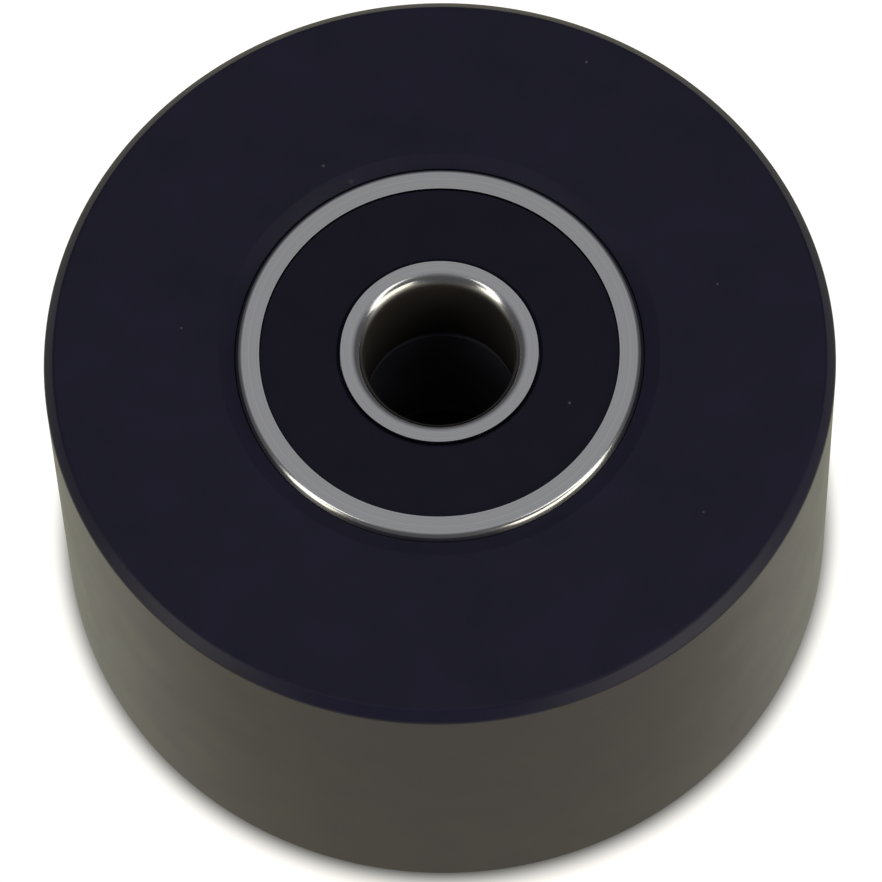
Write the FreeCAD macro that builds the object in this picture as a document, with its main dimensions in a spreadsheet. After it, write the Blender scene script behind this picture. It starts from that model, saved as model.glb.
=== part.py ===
"""Chain roller: a polymer roller on two rubber-sealed ball bearings, with a spacer sleeve between them.

The roller stands on its end. The origin is the centre of its lower end, +Z runs up the axle,
and sizes are millimetres.
"""

import FreeCAD
import Part
import math
import os
import Sketcher

# Driving dimensions

DRIVING_DIMENSIONS = {
    # roller body
    "roller_diameter": 42.0,
    "body_width": 23.0,
    "rim_bevel": 0.55,
    "rib_bore": 18.5,
    "seat_lead_in": 0.7,
    "lead_in_depth": 0.2,
    "seat_gap": 0.01,
    # bearing, outside
    "bearing_bore": 8.0,
    "bearing_diameter": 22.0,
    "bearing_width": 7.0,
    "bearing_stand_out": 0.1,
    "ring_bevel_width": 0.4,
    "ring_bevel_length": 0.6,
    "bore_bevel_width": 0.5,
    "bore_bevel_length": 0.8,
    "face_round": 0.6,
    "wall_round": 0.8,
    "edge_break": 0.05,
    # bearing, inside: the shoulders stand this far above the bottom of their ball grooves
    "ball_count": 7,
    "ball_diameter": 3.969,
    "race_relief": 0.075,
    "race_gap": 0.04,
    "inner_shoulder": 0.575,
    "outer_shoulder": 0.575,
    # rubber seals, and the steps in the rings that hold them
    "inner_land": 1.25,
    "outer_recess": 0.6,
    "seal_set_back": 0.15,
    "seal_thickness": 0.65,
    "seal_gap": 0.03,
    "lip_thickness": 0.4,
    "lip_width": 0.8,
    "lip_bevel": 0.2,
    "step_gap": 0.2,
    "undercut_depth": 0.2,
    "undercut_height": 0.3,
    # riveted ribbon cage
    "cage_sheet": 0.3,
    "cage_width": 1.8,
    "pocket_gap": 0.06,
    "rivet_diameter": 0.7,
    "rivet_gap": 0.02,
    "rivet_head_diameter": 1.2,
    "rivet_head_height": 0.25,
    # spacer sleeve
    "sleeve_diameter": 10.5,
    "sleeve_bore_gap": 0.1,
    "sleeve_edge_break": 0.1,
}

doc = FreeCAD.newDocument("ChainRoller")
sheet = doc.addObject("Spreadsheet::Sheet", "Sizes")
for row, (alias, number) in enumerate(DRIVING_DIMENSIONS.items(), start=1):
    sheet.set(f"A{row}", alias)
    sheet.set(f"B{row}", str(number))
    sheet.setAlias(f"B{row}", alias)
doc.recompute()


class Size:
    """A length that keeps its value together with the spreadsheet formula that gives it."""

    def __init__(self, formula, value):
        self.formula = formula
        self.value = value

    @staticmethod
    def of(other):
        return other if isinstance(other, Size) else Size(repr(other), other)

    def __add__(self, other):
        other = Size.of(other)
        return Size(f"({self.formula} + {other.formula})", self.value + other.value)

    def __sub__(self, other):
        other = Size.of(other)
        return Size(f"({self.formula} - {other.formula})", self.value - other.value)

    def __mul__(self, other):
        other = Size.of(other)
        return Size(f"({self.formula} * {other.formula})", self.value * other.value)

    def __truediv__(self, other):
        other = Size.of(other)
        return Size(f"({self.formula} / {other.formula})", self.value / other.value)


def cell(alias):
    return Size(f"Sizes.{alias}", float(getattr(sheet, alias)))


def bind(thing, name, size):
    """Ties one property of an object to the spreadsheet."""
    thing.setExpression(name, size.formula)


def square_root(size):
    return Size(f"sqrt({size.formula})", math.sqrt(size.value))


# Sizes that follow from the driving dimensions

GROUND = Size("0", 0.0)
overall_width = cell("body_width") + cell("bearing_stand_out") * 2
bearing_width = cell("bearing_width")
half_width = bearing_width / 2
bore_radius = cell("bearing_bore") / 2
bearing_radius = cell("bearing_diameter") / 2
ball_radius = cell("ball_diameter") / 2
circle_radius = (bore_radius + bearing_radius) / 2
groove_radius = ball_radius + cell("race_relief")
inner_groove = circle_radius - ball_radius - cell("race_gap")
outer_groove = circle_radius + ball_radius + cell("race_gap")
inner_shoulder_radius = inner_groove + cell("inner_shoulder")
outer_shoulder_radius = outer_groove - cell("outer_shoulder")
land_radius = bore_radius + cell("inner_land")
recess_radius = outer_shoulder_radius + cell("outer_recess")
seal_face = bearing_width - cell("seal_set_back")
seal_floor = seal_face - cell("seal_thickness")
sleeve_length = overall_width - bearing_width * 2
ball_count = int(sheet.ball_count)


class Corner:
    """A point of a turned profile. With round_to_next, an arc of that radius runs on to the next point."""

    def __init__(self, radius, height, round_to_next=None, hollow=False):
        self.radius = radius
        self.height = height
        self.round_to_next = round_to_next
        self.hollow = hollow

    def vector(self):
        return FreeCAD.Vector(self.radius.value, self.height.value, 0)


def arc_between(start, end, radius, hollow):
    """The short arc of a radius from start to end. Its centre is left of the way, or right if hollow."""
    chord = end - start
    to_left = FreeCAD.Vector(-chord.y, chord.x, 0).normalize()
    reach = math.sqrt(radius**2 - (chord.Length / 2) ** 2)
    centre = (start + end) / 2 + to_left * (-reach if hollow else reach)
    first, last = (end, start) if hollow else (start, end)
    first_angle = math.atan2(first.y - centre.y, first.x - centre.x)
    last_angle = math.atan2(last.y - centre.y, last.x - centre.x)
    circle = Part.Circle(centre, FreeCAD.Vector(0, 0, 1), radius)
    return Part.ArcOfCircle(circle, first_angle, last_angle)


def constrain(sketch, formula, *constraint):
    """Adds one dimension to a sketch and ties it to the spreadsheet."""
    index = sketch.addConstraint(Sketcher.Constraint(*constraint))
    sketch.setExpression(f"Constraints[{index}]", formula)


def draw_profile(sketch, corners):
    """Draws a closed profile anticlockwise, radius across and height up, with every corner dimensioned."""
    ends = []
    for corner, following in zip(corners, corners[1:] + corners[:1]):
        start, end = corner.vector(), following.vector()
        if corner.round_to_next is None:
            sketch.addGeometry(Part.LineSegment(start, end))
        else:
            sketch.addGeometry(arc_between(start, end, corner.round_to_next.value, corner.hollow))
        ends.append((2, 1) if corner.hollow else (1, 2))
    for index, corner in enumerate(corners):
        before = (index - 1) % len(corners)
        start = ends[index][0]
        across, up, rounding = corner.radius, corner.height, corner.round_to_next
        sketch.addConstraint(Sketcher.Constraint("Coincident", before, ends[before][1], index, start))
        constrain(sketch, across.formula, "DistanceX", -1, 1, index, start, across.value)
        if up is GROUND:
            sketch.addConstraint(Sketcher.Constraint("PointOnObject", index, start, -1))
        else:
            constrain(sketch, up.formula, "DistanceY", -1, 1, index, start, up.value)
        if rounding is not None:
            constrain(sketch, rounding.formula, "Radius", index, rounding.value)


def origin_feature(body, role):
    return next(feature for feature in body.Origin.OriginFeatures if feature.Role == role)


def new_sketch(body, plane, name):
    sketch = body.newObject("Sketcher::SketchObject", name)
    sketch.AttachmentSupport = (origin_feature(body, plane), [""])
    sketch.MapMode = "FlatFace"
    return sketch


def new_body(label, height=None, flipped=False):
    """A body raised to a height, turned over about X where it faces the other way."""
    body = doc.addObject("PartDesign::Body", label)
    body.Label = label
    if flipped:
        body.Placement = FreeCAD.Placement(FreeCAD.Vector(), FreeCAD.Rotation(FreeCAD.Vector(1, 0, 0), 180))
    if height is not None:
        bind(body, "Placement.Base.z", height)
    return body


def turn(body, corners):
    """Turns a profile about the body's own Z axis."""
    sketch = new_sketch(body, "XZ_Plane", f"{body.Label}_profile")
    draw_profile(sketch, corners)
    turned = body.newObject("PartDesign::Revolution", f"{body.Label}_turned")
    turned.Profile = sketch
    turned.ReferenceAxis = (sketch, ["V_Axis"])
    turned.Angle = 360
    doc.recompute()
    return turned


def repeat_round(body, originals, name):
    """Repeats features once for each ball around the body's Z axis."""
    pattern = body.newObject("PartDesign::PolarPattern", name)
    pattern.Originals = originals
    pattern.Axis = (origin_feature(body, "Z_Axis"), [""])
    pattern.Angle = 360
    bind(pattern, "Occurrences", cell("ball_count"))
    body.Tip = pattern
    doc.recompute()
    return pattern


# Roller body: one turned polymer piece with a bearing seat in each end and a rib between the seats

def make_roller_body():
    radius = cell("roller_diameter") / 2
    rim = cell("rim_bevel")
    seat = bearing_radius + cell("seat_gap")
    lead_in = cell("seat_lead_in")
    lead_in_depth = cell("lead_in_depth")
    rib = cell("rib_bore") / 2
    low_face = cell("bearing_stand_out")
    high_face = low_face + cell("body_width")
    low_floor = bearing_width
    high_floor = overall_width - bearing_width
    turn(
        new_body("roller_body"),
        [
            Corner(radius, low_face + rim),
            Corner(radius, high_face - rim),
            Corner(radius - rim, high_face),
            Corner(seat + lead_in, high_face),
            Corner(seat, high_face - lead_in_depth),
            Corner(seat, high_floor),
            Corner(rib, high_floor),
            Corner(rib, low_floor),
            Corner(seat, low_floor),
            Corner(seat, low_face + lead_in_depth),
            Corner(seat + lead_in, low_face),
            Corner(radius - rim, low_face),
        ],
    )


# Spacer sleeve: a steel tube that holds the two inner rings apart

def make_spacer_sleeve():
    outside = cell("sleeve_diameter") / 2
    inside = bore_radius + cell("sleeve_bore_gap")
    edge = cell("sleeve_edge_break")
    turn(
        new_body("spacer_sleeve", bearing_width),
        [
            Corner(inside, GROUND),
            Corner(outside - edge, GROUND),
            Corner(outside, edge),
            Corner(outside, sleeve_length - edge),
            Corner(outside - edge, sleeve_length),
            Corner(inside, sleeve_length),
        ],
    )


# Bearing rings: ground steel, with a ball groove in the middle and a step for a seal at each end

def groove_half_width(depth):
    """Half of the groove's opening, where its round section meets the shoulder at this depth."""
    rise = groove_radius - depth
    return square_root(groove_radius * groove_radius - rise * rise)


class Bevel:
    """A bevel between a ring's end face and its wall, rounded where it runs out into each of them."""

    def __init__(self, width, length):
        slope = square_root(width * width + length * length)
        self.face_round = cell("face_round")
        self.wall_round = cell("wall_round")
        face_run = self.face_round * (slope - width) / length
        wall_run = self.wall_round * (slope - length) / width
        self.on_face = width + face_run
        self.top_across = width - face_run * width / slope
        self.top_drop = face_run * length / slope
        self.foot_across = wall_run * width / slope
        self.foot_drop = length - wall_run * length / slope
        self.on_wall = length + wall_run


def make_inner_ring(side, base):
    bevel = Bevel(cell("bore_bevel_width"), cell("bore_bevel_length"))
    edge = cell("edge_break")
    top = bearing_width
    shoulder = inner_shoulder_radius
    step = seal_floor - cell("step_gap")
    groove = groove_half_width(cell("inner_shoulder"))
    turn(
        new_body(f"{side}_inner_ring", base),
        [
            Corner(bore_radius + bevel.on_face, GROUND),
            Corner(land_radius - edge, GROUND),
            Corner(land_radius, edge),
            Corner(land_radius, top - step),
            Corner(shoulder, top - step),
            Corner(shoulder, half_width - groove, round_to_next=groove_radius, hollow=True),
            Corner(shoulder, half_width + groove),
            Corner(shoulder, step),
            Corner(land_radius, step),
            Corner(land_radius, top - edge),
            Corner(land_radius - edge, top),
            Corner(bore_radius + bevel.on_face, top, round_to_next=bevel.face_round),
            Corner(bore_radius + bevel.top_across, top - bevel.top_drop),
            Corner(bore_radius + bevel.foot_across, top - bevel.foot_drop, round_to_next=bevel.wall_round),
            Corner(bore_radius, top - bevel.on_wall),
            Corner(bore_radius, bevel.on_wall, round_to_next=bevel.wall_round),
            Corner(bore_radius + bevel.foot_across, bevel.foot_drop),
            Corner(bore_radius + bevel.top_across, bevel.top_drop, round_to_next=bevel.face_round),
        ],
    )


def make_outer_ring(side, base):
    bevel = Bevel(cell("ring_bevel_width"), cell("ring_bevel_length"))
    edge = cell("edge_break")
    top = bearing_width
    shoulder = outer_shoulder_radius
    undercut = recess_radius + cell("undercut_depth")
    undercut_top = seal_floor + cell("undercut_height")
    mouth = undercut_top + cell("undercut_depth")
    groove = groove_half_width(cell("outer_shoulder"))
    turn(
        new_body(f"{side}_outer_ring", base),
        [
            Corner(bearing_radius, bevel.on_wall),
            Corner(bearing_radius, top - bevel.on_wall, round_to_next=bevel.wall_round),
            Corner(bearing_radius - bevel.foot_across, top - bevel.foot_drop),
            Corner(bearing_radius - bevel.top_across, top - bevel.top_drop, round_to_next=bevel.face_round),
            Corner(bearing_radius - bevel.on_face, top),
            Corner(recess_radius + edge, top),
            Corner(recess_radius, top - edge),
            Corner(recess_radius, mouth),
            Corner(undercut, undercut_top),
            Corner(undercut, seal_floor),
            Corner(shoulder, seal_floor),
            Corner(shoulder, half_width + groove, round_to_next=groove_radius, hollow=True),
            Corner(shoulder, half_width - groove),
            Corner(shoulder, top - seal_floor),
            Corner(undercut, top - seal_floor),
            Corner(undercut, top - undercut_top),
            Corner(recess_radius, top - mouth),
            Corner(recess_radius, edge),
            Corner(recess_radius + edge, GROUND),
            Corner(bearing_radius - bevel.on_face, GROUND, round_to_next=bevel.face_round),
            Corner(bearing_radius - bevel.top_across, bevel.top_drop),
            Corner(bearing_radius - bevel.foot_across, bevel.foot_drop, round_to_next=bevel.wall_round),
        ],
    )


# Seals: moulded rubber washers that snap into the outer ring and run on the inner ring with a thin lip

def make_seal(label, base, flipped):
    gap = cell("seal_gap")
    lip_edge = land_radius + gap
    bevel = cell("lip_bevel")
    lip_back = seal_face - cell("lip_thickness")
    waist = lip_edge + cell("lip_width")
    wall = recess_radius - gap
    rim = wall + cell("undercut_depth")
    rim_top = seal_floor + cell("undercut_height") - gap
    turn(
        new_body(label, base, flipped),
        [
            Corner(lip_edge, lip_back),
            Corner(waist, lip_back),
            Corner(waist, seal_floor),
            Corner(rim, seal_floor),
            Corner(rim, rim_top),
            Corner(wall, rim_top + cell("undercut_depth")),
            Corner(wall, seal_face),
            Corner(lip_edge + bevel, seal_face),
            Corner(lip_edge, seal_face - bevel),
        ],
    )


# Balls

def make_ball(side, number, middle):
    label = f"{side}_ball_{number}"
    angle = 2 * math.pi * (number - 1) / ball_count
    ball = doc.addObject("Part::Sphere", label)
    ball.Label = label
    bind(ball, "Radius", ball_radius)
    bind(ball, "Placement.Base.x", circle_radius * math.cos(angle))
    bind(ball, "Placement.Base.y", circle_radius * math.sin(angle))
    bind(ball, "Placement.Base.z", middle)


# Ribbon cage: two pressed steel halves with a dome over each ball, riveted together between the balls

cage_outer = circle_radius + cell("cage_width") / 2
cage_inner = circle_radius - cell("cage_width") / 2
pocket_inner = ball_radius + cell("pocket_gap")
pocket_outer = pocket_inner + cell("cage_sheet")
half_pitch = math.pi / ball_count


def add_circle(sketch, radius, centre_distance=None, angle=0.0):
    """A dimensioned circle about the origin, or at a distance from it along an angle."""
    centre = FreeCAD.Vector()
    if centre_distance is not None:
        across = centre_distance * math.cos(angle)
        along = centre_distance * math.sin(angle)
        centre = FreeCAD.Vector(across.value, along.value, 0)
    circle = sketch.addGeometry(Part.Circle(centre, FreeCAD.Vector(0, 0, 1), radius.value))
    constrain(sketch, radius.formula, "Radius", circle, radius.value)
    if centre_distance is None:
        sketch.addConstraint(Sketcher.Constraint("Coincident", circle, 3, -1, 1))
    else:
        constrain(sketch, across.formula, "DistanceX", -1, 1, circle, 3, across.value)
        constrain(sketch, along.formula, "DistanceY", -1, 1, circle, 3, along.value)


def make_cage_half(label, middle, flipped):
    body = new_body(label, middle, flipped)
    flat = new_sketch(body, "XY_Plane", f"{label}_flat")
    add_circle(flat, cage_outer)
    add_circle(flat, cage_inner)
    ribbon = body.newObject("PartDesign::Pad", f"{label}_ribbon")
    ribbon.Profile = flat
    bind(ribbon, "Length", cell("cage_sheet"))
    doc.recompute()

    dome = body.newObject("PartDesign::AdditiveSphere", f"{label}_dome")
    dome.Angle1 = 0
    bind(dome, "Radius", pocket_outer)
    bind(dome, "Placement.Base.x", circle_radius)
    doc.recompute()
    repeat_round(body, [dome], f"{label}_domes")

    edges = new_sketch(body, "XY_Plane", f"{label}_edges")
    add_circle(edges, cage_outer + pocket_outer)
    add_circle(edges, cage_outer)
    add_circle(edges, cage_inner)
    trim = body.newObject("PartDesign::Pocket", f"{label}_trim")
    trim.Profile = edges
    trim.Type = "ThroughAll"
    trim.Reversed = True
    body.Tip = trim
    doc.recompute()

    pocket = body.newObject("PartDesign::SubtractiveSphere", f"{label}_pocket")
    bind(pocket, "Radius", pocket_inner)
    bind(pocket, "Placement.Base.x", circle_radius)
    doc.recompute()
    repeat_round(body, [pocket], f"{label}_pockets")

    drilling = new_sketch(body, "XY_Plane", f"{label}_drilling")
    add_circle(drilling, cell("rivet_diameter") / 2 + cell("rivet_gap"), circle_radius, half_pitch)
    hole = body.newObject("PartDesign::Pocket", f"{label}_rivet_hole")
    hole.Profile = drilling
    hole.Type = "ThroughAll"
    hole.Reversed = True
    doc.recompute()
    repeat_round(body, [hole], f"{label}_rivet_holes")


def make_cage_rivets(label, middle):
    """Round-headed rivets through both halves, one between each pair of balls."""
    sheets = cell("cage_sheet").value
    shank = cell("rivet_diameter").value / 2
    head = cell("rivet_head_diameter").value / 2
    rise = cell("rivet_head_height").value
    dome_radius = (head**2 + rise**2) / (2 * rise)
    up = FreeCAD.Vector(0, 0, 1)
    rivets = []
    for number in range(ball_count):
        angle = half_pitch * (2 * number + 1)
        foot = FreeCAD.Vector(math.cos(angle), math.sin(angle), 0) * circle_radius.value
        rivet = Part.makeCylinder(shank, sheets * 2, foot - up * sheets)
        for way in (1, -1):
            seat = foot + up * (sheets * way)
            cap = Part.makeSphere(dome_radius, seat - up * ((dome_radius - rise) * way))
            slab = Part.makeCylinder(head, rise, seat, up * way)
            rivet = rivet.fuse(cap.common(slab))
        rivets.append(rivet.removeSplitter())
    group = doc.addObject("Part::Feature", label)
    group.Label = label
    group.Shape = Part.makeCompound(rivets)
    bind(group, "Placement.Base.z", middle)


def make_bearing(side, base):
    """One sealed bearing, standing with its lower face at base."""
    middle = base + half_width
    make_outer_ring(side, base)
    make_inner_ring(side, base)
    face_up = side == "upper"
    upright, turned_over = base, base + bearing_width
    make_seal(f"{side}_face_seal", upright if face_up else turned_over, flipped=not face_up)
    make_seal(f"{side}_back_seal", turned_over if face_up else upright, flipped=face_up)
    for number in range(1, ball_count + 1):
        make_ball(side, number, middle)
    make_cage_half(f"{side}_cage_top_half", middle, flipped=False)
    make_cage_half(f"{side}_cage_bottom_half", middle, flipped=True)
    make_cage_rivets(f"{side}_cage_rivets", middle)


make_roller_body()
make_spacer_sleeve()
make_bearing("lower", GROUND)
make_bearing("upper", overall_width - bearing_width)
doc.recompute()

# Checks, then one STEP file for each piece

for thing in doc.Objects:
    if "Invalid" in thing.State or "Error" in thing.State:
        raise RuntimeError(f"{thing.Label} failed: {thing.State}")

PIECE_TYPES = ("PartDesign::Body", "Part::Sphere", "Part::Feature")
pieces = [thing for thing in doc.RootObjects if thing.TypeId in PIECE_TYPES]
os.makedirs("parts", exist_ok=True)
for piece in pieces:
    if piece.Shape.isNull() or not piece.Shape.isValid():
        raise RuntimeError(f"{piece.Label} has no valid shape")
for piece in pieces:
    piece.Shape.exportStep(f"parts/{piece.Label}.step")
    print(f"{piece.Label}: {len(piece.Shape.Solids)} solid(s), {piece.Shape.Volume:.2f} mm3")
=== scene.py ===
import math
import bpy
from mathutils import Matrix, Vector


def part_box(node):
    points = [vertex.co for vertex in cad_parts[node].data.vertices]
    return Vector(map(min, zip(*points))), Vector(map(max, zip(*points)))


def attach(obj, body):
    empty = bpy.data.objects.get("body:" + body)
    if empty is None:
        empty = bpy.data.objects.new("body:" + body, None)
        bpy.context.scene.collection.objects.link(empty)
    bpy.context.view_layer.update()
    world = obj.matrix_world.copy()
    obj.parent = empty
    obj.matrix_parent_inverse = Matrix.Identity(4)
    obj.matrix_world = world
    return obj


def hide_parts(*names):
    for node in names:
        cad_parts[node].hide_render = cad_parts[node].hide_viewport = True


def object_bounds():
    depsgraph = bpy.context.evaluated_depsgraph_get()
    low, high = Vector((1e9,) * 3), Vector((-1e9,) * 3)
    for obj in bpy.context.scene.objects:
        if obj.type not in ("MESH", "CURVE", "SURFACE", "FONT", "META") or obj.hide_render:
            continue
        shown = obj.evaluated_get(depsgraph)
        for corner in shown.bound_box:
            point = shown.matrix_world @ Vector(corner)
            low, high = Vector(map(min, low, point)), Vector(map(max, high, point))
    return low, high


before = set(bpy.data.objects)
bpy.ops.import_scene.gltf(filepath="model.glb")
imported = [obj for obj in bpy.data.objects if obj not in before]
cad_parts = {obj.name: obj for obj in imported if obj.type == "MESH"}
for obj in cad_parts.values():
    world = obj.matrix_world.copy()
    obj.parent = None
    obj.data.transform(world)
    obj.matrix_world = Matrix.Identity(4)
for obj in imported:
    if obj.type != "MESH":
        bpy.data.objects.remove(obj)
cad_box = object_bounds()

# Roller body. One piece of black polymer, turned all over: a plain tread for the chain, flat ends with
# bevelled rims, and a bored seat for a bearing in each end, with a rib left between the two seats.
# The bevelled mouth of each seat closes a little over the corner of the bearing that is pressed into it.

MM = 0.001
body_low, body_high = (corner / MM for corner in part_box("roller_body"))
bearing_low, bearing_high = (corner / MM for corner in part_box("lower_outer_ring"))
overall_width = cad_box[1].z / MM
roller_radius = body_high.x
rim_bevel = 0.55
rim_round = 0.3
bearing_radius = bearing_high.x
bearing_width = bearing_high.z - bearing_low.z
seat_gap = 0.01
seat_radius = bearing_radius + seat_gap
mouth_bevel = 0.7
mouth_depth = 0.2
mouth_round = 0.3
lip_reach = 0.15
lip_drop = mouth_depth * (1 + lip_reach / mouth_bevel)
lip_root = 0.48
lip_round = 0.02
rib_radius = 9.25
polymer_dark = (0.0058, 0.0050, 0.0210)
polymer_light = (0.0092, 0.0080, 0.0285)
dust_grey = (0.11, 0.105, 0.10)
# Each dust speck on the upper end has its place across and along the end, and its radius.
end_dust = [
    (-5.81, 11.19, 0.13),
    (-4.34, 10.23, 0.26),
    (-13.62, 1.97, 0.1),
    (8.52, 16.78, 0.12),
    (14.89, 3.31, 0.1),
    (13.5, -9.83, 0.09),
]


def add_node(tree, kind, **settings):
    """Adds a node and sets its options."""
    node = tree.nodes.new(kind)
    for name, value in settings.items():
        setattr(node, name, value)
    return node


def build_lathe():
    """Rounds each corner of a profile by its own radius and sweeps the profile round the bolt's axis."""
    tree = bpy.data.node_groups.new("lathe", "GeometryNodeTree")
    for name, kind in (
        ("Profile", "NodeSocketGeometry"),
        ("Segments", "NodeSocketInt"),
        ("Rounding Steps", "NodeSocketInt"),
        ("Sweep Radius", "NodeSocketFloat"),
        ("Sharp Above", "NodeSocketFloat"),
        ("Material", "NodeSocketMaterial"),
    ):
        tree.interface.new_socket(name, in_out="INPUT", socket_type=kind)
    tree.interface.new_socket("Piece", in_out="OUTPUT", socket_type="NodeSocketGeometry")
    given = add_node(tree, "NodeGroupInput").outputs
    outline = add_node(tree, "GeometryNodeMeshToCurve")
    rounding = add_node(tree, "GeometryNodeInputNamedAttribute", data_type="FLOAT")
    rounding.inputs["Name"].default_value = "rounding"
    rounded = add_node(tree, "GeometryNodeFilletCurve", mode="POLY")
    path = add_node(tree, "GeometryNodeCurvePrimitiveCircle", mode="RADIUS")
    swept = add_node(tree, "GeometryNodeCurveToMesh")
    # The sweep leaves the faces pointing inwards, so they are flipped.
    faced_out = add_node(tree, "GeometryNodeFlipFaces")
    angle = add_node(tree, "GeometryNodeInputMeshEdgeAngle")
    is_gentle = add_node(tree, "FunctionNodeCompare", data_type="FLOAT", operation="LESS_THAN")
    smooth_faces = add_node(tree, "GeometryNodeSetShadeSmooth", domain="FACE")
    smooth_edges = add_node(tree, "GeometryNodeSetShadeSmooth", domain="EDGE")
    realized = add_node(tree, "GeometryNodeRealizeInstances")
    finished = add_node(tree, "GeometryNodeSetMaterial")
    result = add_node(tree, "NodeGroupOutput")
    for start, end in (
        (given["Profile"], outline.inputs["Mesh"]),
        (outline.outputs["Curve"], rounded.inputs["Curve"]),
        (given["Rounding Steps"], rounded.inputs["Count"]),
        (rounding.outputs["Attribute"], rounded.inputs["Radius"]),
        (given["Segments"], path.inputs["Resolution"]),
        (given["Sweep Radius"], path.inputs["Radius"]),
        (path.outputs["Curve"], swept.inputs["Curve"]),
        (rounded.outputs["Curve"], swept.inputs["Profile Curve"]),
        (swept.outputs["Mesh"], faced_out.inputs["Mesh"]),
        (faced_out.outputs["Mesh"], smooth_faces.inputs["Geometry"]),
        (smooth_faces.outputs["Geometry"], smooth_edges.inputs["Geometry"]),
        (angle.outputs["Unsigned Angle"], is_gentle.inputs["A"]),
        (given["Sharp Above"], is_gentle.inputs["B"]),
        (is_gentle.outputs["Result"], smooth_edges.inputs["Shade Smooth"]),
        (smooth_edges.outputs["Geometry"], realized.inputs["Geometry"]),
        (realized.outputs["Geometry"], finished.inputs["Geometry"]),
        (given["Material"], finished.inputs["Material"]),
        (finished.outputs["Geometry"], result.inputs["Piece"]),
    ):
        tree.links.new(start, end)
    return tree


lathe_tree = build_lathe()
# Profiles are laid out from a circle of this radius, which is the path that they are swept along.
sweep_radius = 10.0
rounding_steps = 8
sharp_angle = math.radians(30)


def turn(name, profile, material, segments):
    """Turns a closed profile of (radius, height, rounding) corners, in millimetres, into a piece."""
    outline = bpy.data.meshes.new(f"{name}_profile")
    places = [((radius - sweep_radius) * MM, -height * MM, 0.0) for radius, height, _ in profile]
    count = len(places)
    outline.from_pydata(places, [(i, (i + 1) % count) for i in range(count)], [])
    rounding = outline.attributes.new("rounding", "FLOAT", "POINT")
    rounding.data.foreach_set("value", [corner[2] * MM for corner in profile])
    piece = bpy.data.objects.new(name, outline)
    bpy.context.scene.collection.objects.link(piece)
    lathe = piece.modifiers.new("lathe", "NODES")
    lathe.node_group = lathe_tree
    settings = {
        "Segments": segments,
        "Rounding Steps": rounding_steps,
        "Sweep Radius": sweep_radius * MM,
        "Sharp Above": sharp_angle,
        "Material": material,
    }
    for socket in lathe_tree.interface.items_tree:
        if socket.name in settings:
            lathe[socket.identifier] = settings[socket.name]
    piece.modifiers.new("even_shading", "WEIGHTED_NORMAL").keep_sharp = True
    turned = piece.evaluated_get(bpy.context.evaluated_depsgraph_get())
    solid = bpy.data.meshes.new_from_object(turned)
    solid.name = name
    piece.modifiers.clear()
    piece.data = solid
    bpy.data.meshes.remove(outline)
    return piece


def new_finish(name):
    """Makes a material and returns it with its shader."""
    material = bpy.data.materials.new(name)
    material.use_nodes = True
    shader = material.node_tree.nodes["Principled BSDF"]
    return material, shader


def add_math(tree, operation, first, second):
    """A Math node on two sockets or numbers."""
    node = add_node(tree, "ShaderNodeMath", operation=operation)
    for socket, value in zip(node.inputs, (first, second)):
        if isinstance(value, (int, float)):
            socket.default_value = value
        else:
            tree.links.new(value, socket)
    return node.outputs["Value"]


def add_spread(tree, factor, low, high):
    """Spreads a factor of 0 to 1 between two numbers."""
    node = add_node(tree, "ShaderNodeMapRange")
    node.inputs["To Min"].default_value = low
    node.inputs["To Max"].default_value = high
    tree.links.new(factor, node.inputs["Value"])
    return node.outputs["Result"]


def add_ramp(tree, factor, stops):
    """A colour ramp with (position, colour) stops."""
    node = add_node(tree, "ShaderNodeValToRGB")
    ramp = node.color_ramp
    while len(ramp.elements) < len(stops):
        ramp.elements.new(0.5)
    for element, (position, colour) in zip(ramp.elements, stops):
        element.position = position
        element.color = (*colour, 1.0)
    tree.links.new(factor, node.inputs["Fac"])
    return node.outputs["Color"]


def add_cover(tree, colour, cover_colour, mask):
    """Lays a plain colour over another where a mask is 1."""
    mix = add_node(tree, "ShaderNodeMix", data_type="RGBA")
    mix.inputs["B"].default_value = (*cover_colour, 1.0)
    tree.links.new(mask, mix.inputs["Factor"])
    tree.links.new(colour, mix.inputs["A"])
    return mix.outputs["Result"]


def add_mottle(tree, size, detail, distortion=0.0):
    """Soft three-dimensional noise whose patches are about one size across, in millimetres."""
    place = add_node(tree, "ShaderNodeTexCoord")
    noise = add_node(tree, "ShaderNodeTexNoise", noise_dimensions="3D")
    noise.inputs["Scale"].default_value = 1 / (size * MM)
    noise.inputs["Detail"].default_value = detail
    noise.inputs["Distortion"].default_value = distortion
    tree.links.new(place.outputs["Object"], noise.inputs["Vector"])
    return noise.outputs["Fac"]


def add_radius(tree):
    """The distance from the bolt's axis."""
    place = add_node(tree, "ShaderNodeTexCoord")
    flat = add_node(tree, "ShaderNodeVectorMath", operation="MULTIPLY")
    flat.inputs[1].default_value = (1, 1, 0)
    radius = add_node(tree, "ShaderNodeVectorMath", operation="LENGTH")
    tree.links.new(place.outputs["Object"], flat.inputs[0])
    tree.links.new(flat.outputs["Vector"], radius.inputs[0])
    return radius.outputs["Value"]


# Height counts for more than the radius in tool marks, so that a 45 degree bevel has lines too.
height_weight = 1.7


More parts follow.
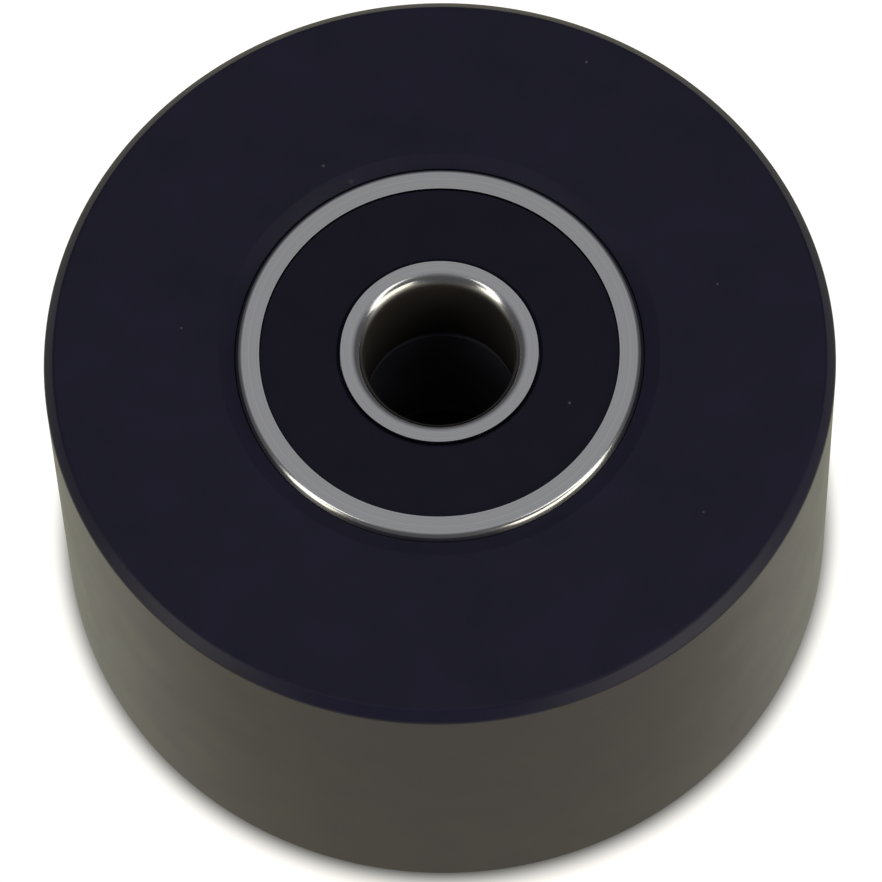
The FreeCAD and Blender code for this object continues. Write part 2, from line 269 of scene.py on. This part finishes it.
def add_tool_marks(tree, pitch, detail):
    """Uneven fine lines round the axis, a pitch apart in millimetres, on end faces and on walls."""
    place = add_node(tree, "ShaderNodeTexCoord")
    split = add_node(tree, "ShaderNodeSeparateXYZ")
    tree.links.new(place.outputs["Object"], split.inputs["Vector"])
    height = add_math(tree, "MULTIPLY", split.outputs["Z"], height_weight)
    along = add_math(tree, "ADD", add_radius(tree), height)
    lines = add_node(tree, "ShaderNodeTexNoise", noise_dimensions="1D")
    lines.inputs["Scale"].default_value = 1 / (pitch * MM)
    lines.inputs["Detail"].default_value = detail
    tree.links.new(along, lines.inputs["W"])
    return lines.outputs["Fac"]


def add_bump(tree, shader, height, depth):
    """Raises a height pattern by a depth in millimetres, over any bump that the shader has."""
    bump = add_node(tree, "ShaderNodeBump")
    bump.inputs["Strength"].default_value = 1.0
    bump.inputs["Distance"].default_value = depth * MM
    tree.links.new(height, bump.inputs["Height"])
    if shader.inputs["Normal"].is_linked:
        tree.links.new(shader.inputs["Normal"].links[0].from_socket, bump.inputs["Normal"])
    tree.links.new(bump.outputs["Normal"], shader.inputs["Normal"])


def add_specks(tree, specks, level):
    """A mask of soft round specks that lie at one level, in millimetres."""
    place = add_node(tree, "ShaderNodeTexCoord")
    mask = None
    for across, along, size in specks:
        away = add_node(tree, "ShaderNodeVectorMath", operation="DISTANCE")
        away.inputs[1].default_value = (across * MM, along * MM, level * MM)
        tree.links.new(place.outputs["Object"], away.inputs[0])
        spot = add_node(tree, "ShaderNodeMapRange", interpolation_type="SMOOTHSTEP")
        spot.inputs["From Max"].default_value = size * MM
        spot.inputs["To Min"].default_value = 1.0
        spot.inputs["To Max"].default_value = 0.0
        tree.links.new(away.outputs["Value"], spot.inputs["Value"])
        if mask is None:
            mask = spot.outputs["Result"]
        else:
            mask = add_math(tree, "MAXIMUM", mask, spot.outputs["Result"])
    return mask


def black_polymer():
    """Satin black polymer with a cool cast, faint turning marks, some dust specks and a patchy shine."""
    material, shader = new_finish("black_polymer")
    tree = material.node_tree
    patches = add_mottle(tree, size=3.0, detail=4)
    colour = add_ramp(tree, patches, [(0.3, polymer_dark), (0.7, polymer_light)])
    dusty = add_cover(tree, colour, dust_grey, add_specks(tree, end_dust, body_high.z))
    tree.links.new(dusty, shader.inputs["Base Color"])
    marks = add_tool_marks(tree, pitch=0.22, detail=3)
    patchy = add_spread(tree, patches, low=0.33, high=0.43)
    lined = add_spread(tree, marks, low=0.0, high=0.06)
    tree.links.new(add_math(tree, "ADD", patchy, lined), shader.inputs["Roughness"])
    shader.inputs["IOR"].default_value = 1.365
    add_bump(tree, shader, marks, depth=0.002)
    add_bump(tree, shader, add_mottle(tree, size=0.12, detail=2), depth=0.0005)
    return material


roller = turn(
    "turned_roller_body",
    [
        (roller_radius - rim_bevel, body_low.z, rim_round),
        (roller_radius, body_low.z + rim_bevel, rim_round),
        (roller_radius, body_high.z - rim_bevel, rim_round),
        (roller_radius - rim_bevel, body_high.z, rim_round),
        (seat_radius + mouth_bevel, body_high.z, mouth_round),
        (seat_radius - lip_reach, body_high.z - lip_drop, lip_round),
        (seat_radius, body_high.z - lip_root, 0.0),
        (seat_radius, overall_width - bearing_width, 0.0),
        (rib_radius, overall_width - bearing_width, 0.0),
        (rib_radius, bearing_width, 0.0),
        (seat_radius, bearing_width, 0.0),
        (seat_radius, body_low.z + lip_root, 0.0),
        (seat_radius - lip_reach, body_low.z + lip_drop, lip_round),
        (seat_radius + mouth_bevel, body_low.z, mouth_round),
    ],
    black_polymer(),
    segments=288,
)
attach(roller, "roller")
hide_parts("roller_body")

# Bearing rings. Hardened bearing steel, ground on the faces, the bore and the outside, with polished
# rounded corners. The ball grooves face each other, and a step at each end of a ring takes a seal.
# The outer rings are pressed into the body, and the bolt clamps the inner ones against the sleeve.

bore_radius = 4.0
# A corner is given as its width across the ring's face and its length along the axis.
outside_corner = (0.4, 0.6)
outside_round = 0.35
bore_corner = (0.42, 0.58)
bore_round = 0.68
wall_round = 0.8
ball_diameter = 3.969
ball_radius = ball_diameter / 2
ball_circle = (bore_radius + bearing_radius) / 2
groove_relief = 0.075
groove_radius = ball_radius + groove_relief
groove_steps = 16
race_gap = 0.04
shoulder_height = 0.575
inner_groove = ball_circle - ball_radius - race_gap
outer_groove = ball_circle + ball_radius + race_gap
inner_shoulder = inner_groove + shoulder_height
outer_shoulder = outer_groove - shoulder_height
land_wall = 1.25
land_radius = bore_radius + land_wall
recess_depth = 0.6
recess_radius = outer_shoulder + recess_depth
seal_set_back = 0.15
seal_thickness = 0.65
seal_face = bearing_width - seal_set_back
seal_floor = seal_face - seal_thickness
undercut_depth = 0.2
undercut_height = 0.3
undercut_radius = recess_radius + undercut_depth
undercut_top = seal_floor + undercut_height
step_gap = 0.2
step_floor = seal_floor - step_gap
bearing_bases = {"lower": 0.0, "upper": overall_width - bearing_width}
steel_dark = (0.55, 0.55, 0.54)
steel_light = (0.63, 0.63, 0.62)
bore_brown_and_shade = (0.080, 0.070, 0.065)
bore_dullness = 0.6
# The bore's dark brown, a brown tint with painted shade inside the hole, sets in this far outside the bore's
# radius, and is full at the second distance.
dull_from = 0.32
dull_full = 0.04


def ground_steel():
    """Ground bearing steel: fine grinding lines, a slightly cloudy shine and a duller bore painted dark
    brown, partly a brown tint and partly painted shade inside the hole.
    """
    material, shader = new_finish("ground_steel")
    tree = material.node_tree
    lines = add_tool_marks(tree, pitch=0.11, detail=1)
    clouds = add_mottle(tree, size=1.4, detail=3)
    in_bore = add_node(tree, "ShaderNodeMapRange", interpolation_type="SMOOTHSTEP")
    in_bore.inputs["From Min"].default_value = (bore_radius + dull_from) * MM
    in_bore.inputs["From Max"].default_value = (bore_radius + dull_full) * MM
    tree.links.new(add_radius(tree), in_bore.inputs["Value"])
    steel = add_ramp(tree, lines, [(0.25, steel_dark), (0.75, steel_light)])
    # Painted shade: the bore is coloured a dark brown, darker than the steel, as shade inside the hole.
    colour = add_cover(tree, steel, bore_brown_and_shade, in_bore.outputs["Result"])
    tree.links.new(colour, shader.inputs["Base Color"])
    cloudy = add_spread(tree, clouds, low=0.13, high=0.21)
    dullness = add_math(tree, "MULTIPLY", in_bore.outputs["Result"], bore_dullness)
    tree.links.new(add_math(tree, "ADD", cloudy, dullness), shader.inputs["Roughness"])
    shader.inputs["Metallic"].default_value = 1.0
    add_bump(tree, shader, lines, depth=0.00018)
    return material


def ball_groove(bottom_radius, outwards, base):
    """Corners along a ball groove: upwards on an inner ring, downwards on an outer one."""
    half_angle = math.acos((groove_radius - shoulder_height) / groove_radius)
    centre_radius = bottom_radius - outwards * groove_radius
    centre_height = base + bearing_width / 2
    corners = []
    for step in range(groove_steps + 1):
        angle = outwards * half_angle * (1 - 2 * step / groove_steps)
        radius = centre_radius + outwards * groove_radius * math.cos(angle)
        corners.append((radius, centre_height + groove_radius * math.sin(angle), 0.0))
    return corners


ring_steel = ground_steel()
for side, base in bearing_bases.items():
    top = base + bearing_width
    inner_ring = turn(
        f"ground_{side}_inner_ring",
        [
            (bore_radius, base + bore_corner[1], wall_round),
            (bore_radius + bore_corner[0], base, bore_round),
            (land_radius, base, 0.0),
            (land_radius, top - step_floor, 0.0),
            (inner_shoulder, top - step_floor, 0.0),
            *ball_groove(inner_groove, outwards=-1, base=base),
            (inner_shoulder, base + step_floor, 0.0),
            (land_radius, base + step_floor, 0.0),
            (land_radius, top, 0.0),
            (bore_radius + bore_corner[0], top, bore_round),
            (bore_radius, top - bore_corner[1], wall_round),
        ],
        ring_steel,
        segments=192,
    )
    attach(inner_ring, "hub")
    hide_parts(f"{side}_inner_ring")

    outer_ring = turn(
        f"ground_{side}_outer_ring",
        [
            (bearing_radius - outside_corner[0], base, outside_round),
            (bearing_radius, base + outside_corner[1], wall_round),
            (bearing_radius, top - outside_corner[1], wall_round),
            (bearing_radius - outside_corner[0], top, outside_round),
            (recess_radius, top, 0.0),
            (recess_radius, base + undercut_top + undercut_depth, 0.0),
            (undercut_radius, base + undercut_top, 0.0),
            (undercut_radius, base + seal_floor, 0.0),
            (outer_shoulder, base + seal_floor, 0.0),
            *ball_groove(outer_groove, outwards=1, base=base),
            (outer_shoulder, top - seal_floor, 0.0),
            (undercut_radius, top - seal_floor, 0.0),
            (undercut_radius, top - undercut_top, 0.0),
            (recess_radius, top - undercut_top - undercut_depth, 0.0),
            (recess_radius, base, 0.0),
        ],
        ring_steel,
        segments=240,
    )
    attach(outer_ring, "roller")
    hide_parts(f"{side}_outer_ring")

# Seals. Moulded black rubber washers, two to a bearing. The thick rim is snapped into the undercut
# of the outer ring, and the thin bevelled lip runs on the land of the inner ring.

seal_gap = 0.03
seal_lip_thickness = 0.4
seal_lip_width = 0.8
seal_lip_bevel = 0.2
moulded_edge = 0.05
seal_lip_edge = land_radius + seal_gap
seal_lip_back = seal_face - seal_lip_thickness
seal_wall = recess_radius - seal_gap
seal_rim = seal_wall + undercut_depth
seal_rim_top = undercut_top - seal_gap
rubber_dark = (0.0036, 0.0028, 0.0135)
rubber_light = (0.0062, 0.0050, 0.0190)
seal_dust = [(6.75, -3.24, 0.12)]


def moulded_rubber():
    """Matte black rubber with a fine moulded grain, a faint bloom and a speck of dust."""
    material, shader = new_finish("moulded_rubber")
    tree = material.node_tree
    bloom = add_mottle(tree, size=1.8, detail=3)
    colour = add_ramp(tree, bloom, [(0.3, rubber_dark), (0.75, rubber_light)])
    specks = add_specks(tree, seal_dust, bearing_bases["upper"] + seal_face)
    tree.links.new(add_cover(tree, colour, dust_grey, specks), shader.inputs["Base Color"])
    tree.links.new(add_spread(tree, bloom, low=0.5, high=0.64), shader.inputs["Roughness"])
    shader.inputs["IOR"].default_value = 1.33
    add_bump(tree, shader, add_mottle(tree, size=0.1, detail=3), depth=0.0015)
    return material


seal_rubber = moulded_rubber()
seal_profile = [
    (seal_lip_edge, seal_lip_back, moulded_edge),
    (seal_lip_edge + seal_lip_width, seal_lip_back, moulded_edge),
    (seal_lip_edge + seal_lip_width, seal_floor, moulded_edge),
    (seal_rim, seal_floor, moulded_edge),
    (seal_rim, seal_rim_top, moulded_edge),
    (seal_wall, seal_rim_top + undercut_depth, 0.0),
    (seal_wall, seal_face, moulded_edge),
    (seal_lip_edge + seal_lip_bevel, seal_face, moulded_edge),
    (seal_lip_edge, seal_face - seal_lip_bevel, moulded_edge),
]
# A seal that looks down is turned over, with its corners in reverse to keep its faces outwards.
turned_over = [
    (radius, bearing_width - height, rounding)
    for radius, height, rounding in reversed(seal_profile)
]
for side, base in bearing_bases.items():
    for place in ("face", "back"):
        looks_up = (place == "face") == (side == "upper")
        profile = seal_profile if looks_up else turned_over
        corners = [(radius, base + height, rounding) for radius, height, rounding in profile]
        seal = turn(f"moulded_{side}_{place}_seal", corners, seal_rubber, segments=216)
        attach(seal, "roller")
        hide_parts(f"{side}_{place}_seal")

# Spacer sleeve. A plain turned steel tube, blackened against rust. It stands between the two inner
# rings, so that the bolt clamps rings and sleeve into one stack.

sleeve_low, sleeve_high = (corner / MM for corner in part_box("spacer_sleeve"))
sleeve_gap = 0.1
sleeve_bore = bore_radius + sleeve_gap
sleeve_edge = 0.1
sleeve_dark = (0.066, 0.065, 0.080)
sleeve_light = (0.104, 0.102, 0.118)


def blackened_steel():
    """Turned steel with a matte black phosphate skin, a little patchy, over coarse turning lines."""
    material, shader = new_finish("blackened_steel")
    tree = material.node_tree
    patches = add_mottle(tree, size=2.2, detail=4)
    colour = add_ramp(tree, patches, [(0.3, sleeve_dark), (0.7, sleeve_light)])
    tree.links.new(colour, shader.inputs["Base Color"])
    tree.links.new(add_spread(tree, patches, low=0.5, high=0.65), shader.inputs["Roughness"])
    shader.inputs["IOR"].default_value = 1.3
    add_bump(tree, shader, add_tool_marks(tree, pitch=0.18, detail=3), depth=0.002)
    return material


sleeve = turn(
    "turned_spacer_sleeve",
    [
        (sleeve_bore, sleeve_low.z, 0.0),
        (sleeve_high.x, sleeve_low.z, sleeve_edge),
        (sleeve_high.x, sleeve_high.z, sleeve_edge),
        (sleeve_bore, sleeve_high.z, 0.0),
    ],
    blackened_steel(),
    segments=144,
)
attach(sleeve, "hub")
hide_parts("spacer_sleeve")

# Balls. Seven to a bearing, of hardened steel, ground round and lapped to a mirror shine, which leaves
# a faint web of fine swirls. The rings hold them in their grooves, and the cage keeps them apart.

ball_dark = (0.70, 0.70, 0.705)
ball_light = (0.77, 0.77, 0.775)


def lapped_steel():
    """Mirror-bright steel with faint swirls."""
    material, shader = new_finish("lapped_steel")
    tree = material.node_tree
    swirls = add_mottle(tree, size=0.5, detail=6, distortion=2.0)
    colour = add_ramp(tree, swirls, [(0.35, ball_dark), (0.65, ball_light)])
    tree.links.new(colour, shader.inputs["Base Color"])
    tree.links.new(add_spread(tree, swirls, low=0.05, high=0.13), shader.inputs["Roughness"])
    shader.inputs["Metallic"].default_value = 1.0
    return material


ball_steel = lapped_steel()
for name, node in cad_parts.items():
    if "_ball_" in name:
        node.material_slots[0].material = ball_steel

# Cages. Two halves pressed from thin steel strip, domed over the balls and joined by small
# round-headed rivets between them. The strip is dull, with rolling streaks and a film of grease.

cage_dark = (0.40, 0.39, 0.37)
cage_light = (0.52, 0.515, 0.50)


def pressed_steel():
    """Rolled steel strip, dull and a little oily."""
    material, shader = new_finish("pressed_steel")
    tree = material.node_tree
    film = add_mottle(tree, size=1.1, detail=4)
    colour = add_ramp(tree, film, [(0.3, cage_dark), (0.7, cage_light)])
    tree.links.new(colour, shader.inputs["Base Color"])
    tree.links.new(add_spread(tree, film, low=0.3, high=0.48), shader.inputs["Roughness"])
    shader.inputs["Metallic"].default_value = 1.0
    add_bump(tree, shader, add_tool_marks(tree, pitch=0.15, detail=4), depth=0.001)
    return material


cage_steel = pressed_steel()
for name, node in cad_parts.items():
    if "_cage_" in name:
        node.material_slots[0].material = cage_steel

# Stage. A plain white floor that glows, with painted shade: a soft contact shadow round the roller's base,
# and dark under it. Above is a soft cool sky, with a tall lamp on each side that the corners of the rings
# catch, and a low warm panel on each side that lights the near rim. Reflections see a glowing warm buff
# card in place of the floor, whose darker front and dark middle are painted shade, as under a roller that
# stands in its own shade.

card_half = 3000
# A card changes from its near colour to its far colour between these two places along the depth.
near_until = -22
far_from = -8


def add_card(name, height, near_colour, far_colour, power, painted_shade_within, lit_beyond):
    """A wide flat square that glows, with painted shade: dark under the roller and rising to full glow just
    beyond it.
    """
    material = bpy.data.materials.new(name)
    material.use_nodes = True
    tree = material.node_tree
    tree.nodes.clear()
    place = add_node(tree, "ShaderNodeTexCoord")
    split = add_node(tree, "ShaderNodeSeparateXYZ")
    depth = add_node(tree, "ShaderNodeMapRange", interpolation_type="SMOOTHSTEP")
    depth.inputs["From Min"].default_value = near_until * MM
    depth.inputs["From Max"].default_value = far_from * MM
    shade = add_node(tree, "ShaderNodeMapRange", interpolation_type="SMOOTHSTEP")
    shade.inputs["From Min"].default_value = painted_shade_within * MM
    shade.inputs["From Max"].default_value = lit_beyond * MM
    shade.inputs["To Max"].default_value = power
    glow = add_node(tree, "ShaderNodeEmission")
    output = add_node(tree, "ShaderNodeOutputMaterial")
    tree.links.new(place.outputs["Object"], split.inputs["Vector"])
    tree.links.new(split.outputs["Y"], depth.inputs["Value"])
    tree.links.new(add_radius(tree), shade.inputs["Value"])
    colour = add_ramp(tree, depth.outputs["Result"], [(0.0, near_colour), (1.0, far_colour)])
    tree.links.new(colour, glow.inputs["Color"])
    tree.links.new(shade.outputs["Result"], glow.inputs["Strength"])
    tree.links.new(glow.outputs["Emission"], output.inputs["Surface"])
    mesh = bpy.data.meshes.new(name)
    half = card_half * MM
    corners = [(-half, -half), (half, -half), (half, half), (-half, half)]
    mesh.from_pydata([(x, y, height * MM) for x, y in corners], [], [(0, 1, 2, 3)])
    mesh.materials.append(material)
    card = bpy.data.objects.new(name, mesh)
    bpy.context.scene.collection.objects.link(card)
    return card


# The floor's glow fades out towards the roller's base: a painted contact shadow, and painted shade under the
# roller.
floor = add_card(
    "floor",
    height=-0.02,
    near_colour=(1.0, 0.97, 0.92),
    far_colour=(1.0, 0.98, 0.94),
    power=1.1,
    painted_shade_within=roller_radius - 0.7,
    lit_beyond=roller_radius + 1.2,
)
floor.visible_glossy = False
# The shade card is a painted reflection of shaded floor: its darker near colour and dark middle are painted
# shade.
shade_card = add_card(
    "shade_card",
    height=-0.5,
    near_colour=(0.64, 0.592, 0.36),
    far_colour=(0.88, 0.86, 0.64),
    power=1.0,
    painted_shade_within=roller_radius - 1.5,
    lit_beyond=roller_radius - 0.3,
)
shade_card.visible_camera = False
shade_card.visible_diffuse = False

# The sky is brightest overhead and a little to the back, and is narrower from side to side.
sky_middle = (0.0, 0.37, 0.929)
sky_narrowing = (1.3, 1.0, 1.0)
sky_stops = [
    (0.0, (0.415, 0.417, 0.445)),
    (0.4, (0.385, 0.387, 0.415)),
    (0.95, (0.13, 0.13, 0.145)),
    (1.0, (0.10, 0.10, 0.11)),
]
world = bpy.data.worlds.new("room")
world.use_nodes = True
bpy.context.scene.world = world
room = world.node_tree
sky = add_node(room, "ShaderNodeTexCoord")
narrowed = add_node(room, "ShaderNodeVectorMath", operation="MULTIPLY")
narrowed.inputs[1].default_value = sky_narrowing
off_middle = add_node(room, "ShaderNodeVectorMath", operation="DISTANCE")
off_middle.inputs[1].default_value = sky_middle
room.links.new(sky.outputs["Generated"], narrowed.inputs[0])
room.links.new(narrowed.outputs["Vector"], off_middle.inputs[0])
sky_colour = add_ramp(room, off_middle.outputs["Value"], sky_stops)
room.links.new(sky_colour, room.nodes["Background"].inputs["Color"])

lamp_distance = 600
lamp_glow = 6.5
lamp_white = (1.0, 1.0, 0.96)
panel_cream = (1.0, 0.96, 0.80)


def add_lamp(name, azimuth, elevation, width, height, colour):
    """A rectangular lamp that faces the roller, placed by degrees, with a power that grows with its area."""
    heading = math.radians(azimuth)
    rise = math.radians(elevation)
    away = Vector((
        math.cos(heading) * math.cos(rise),
        math.sin(heading) * math.cos(rise),
        math.sin(rise),
    ))
    lamp = bpy.data.lights.new(name, "AREA")
    lamp.shape = "RECTANGLE"
    lamp.size = width * MM
    lamp.size_y = height * MM
    lamp.energy = lamp_glow * width * MM * height * MM
    lamp.color = colour
    light = bpy.data.objects.new(name, lamp)
    light.location = away * lamp_distance * MM
    light.rotation_euler = away.to_track_quat("Z", "Y").to_euler()
    bpy.context.scene.collection.objects.link(light)


add_lamp("left_lamp", azimuth=205, elevation=46, width=120, height=520, colour=lamp_white)
add_lamp("right_lamp", azimuth=-18, elevation=52, width=120, height=520, colour=lamp_white)
add_lamp("left_panel", azimuth=212, elevation=18, width=220, height=460, colour=panel_cream)
add_lamp("right_panel", azimuth=-41, elevation=18, width=460, height=460, colour=panel_cream)

# Camera. A long lens that looks steeply down on the roller's end from the front, turned a little
# about its own axis, as the photo was taken.

camera_elevation = math.radians(66.11)
camera_turn = math.radians(2.25)
camera_distance = 422.5 * MM
camera_target = Vector((-0.1, 0, 11.427)) * MM
towards_camera = Vector((0, -math.cos(camera_elevation), math.sin(camera_elevation)))
sideways = Vector((1, 0, 0))
upright = Vector((0, math.sin(camera_elevation), math.cos(camera_elevation)))
camera_right = sideways * math.cos(camera_turn) - upright * math.sin(camera_turn)
camera_up = sideways * math.sin(camera_turn) + upright * math.cos(camera_turn)
camera_place = Matrix.Translation(camera_target + towards_camera * camera_distance)
camera_aim = Matrix((camera_right, camera_up, towards_camera)).transposed().to_4x4()
camera_lens = bpy.data.cameras.new("camera")
camera_lens.sensor_width = 36
camera_lens.lens = 317.6
camera_lens.clip_start = 10 * MM
camera = bpy.data.objects.new("camera", camera_lens)
camera.matrix_world = camera_place @ camera_aim
bpy.context.scene.collection.objects.link(camera)
bpy.context.scene.camera = camera
bpy.context.scene.view_settings.view_transform = "Standard"
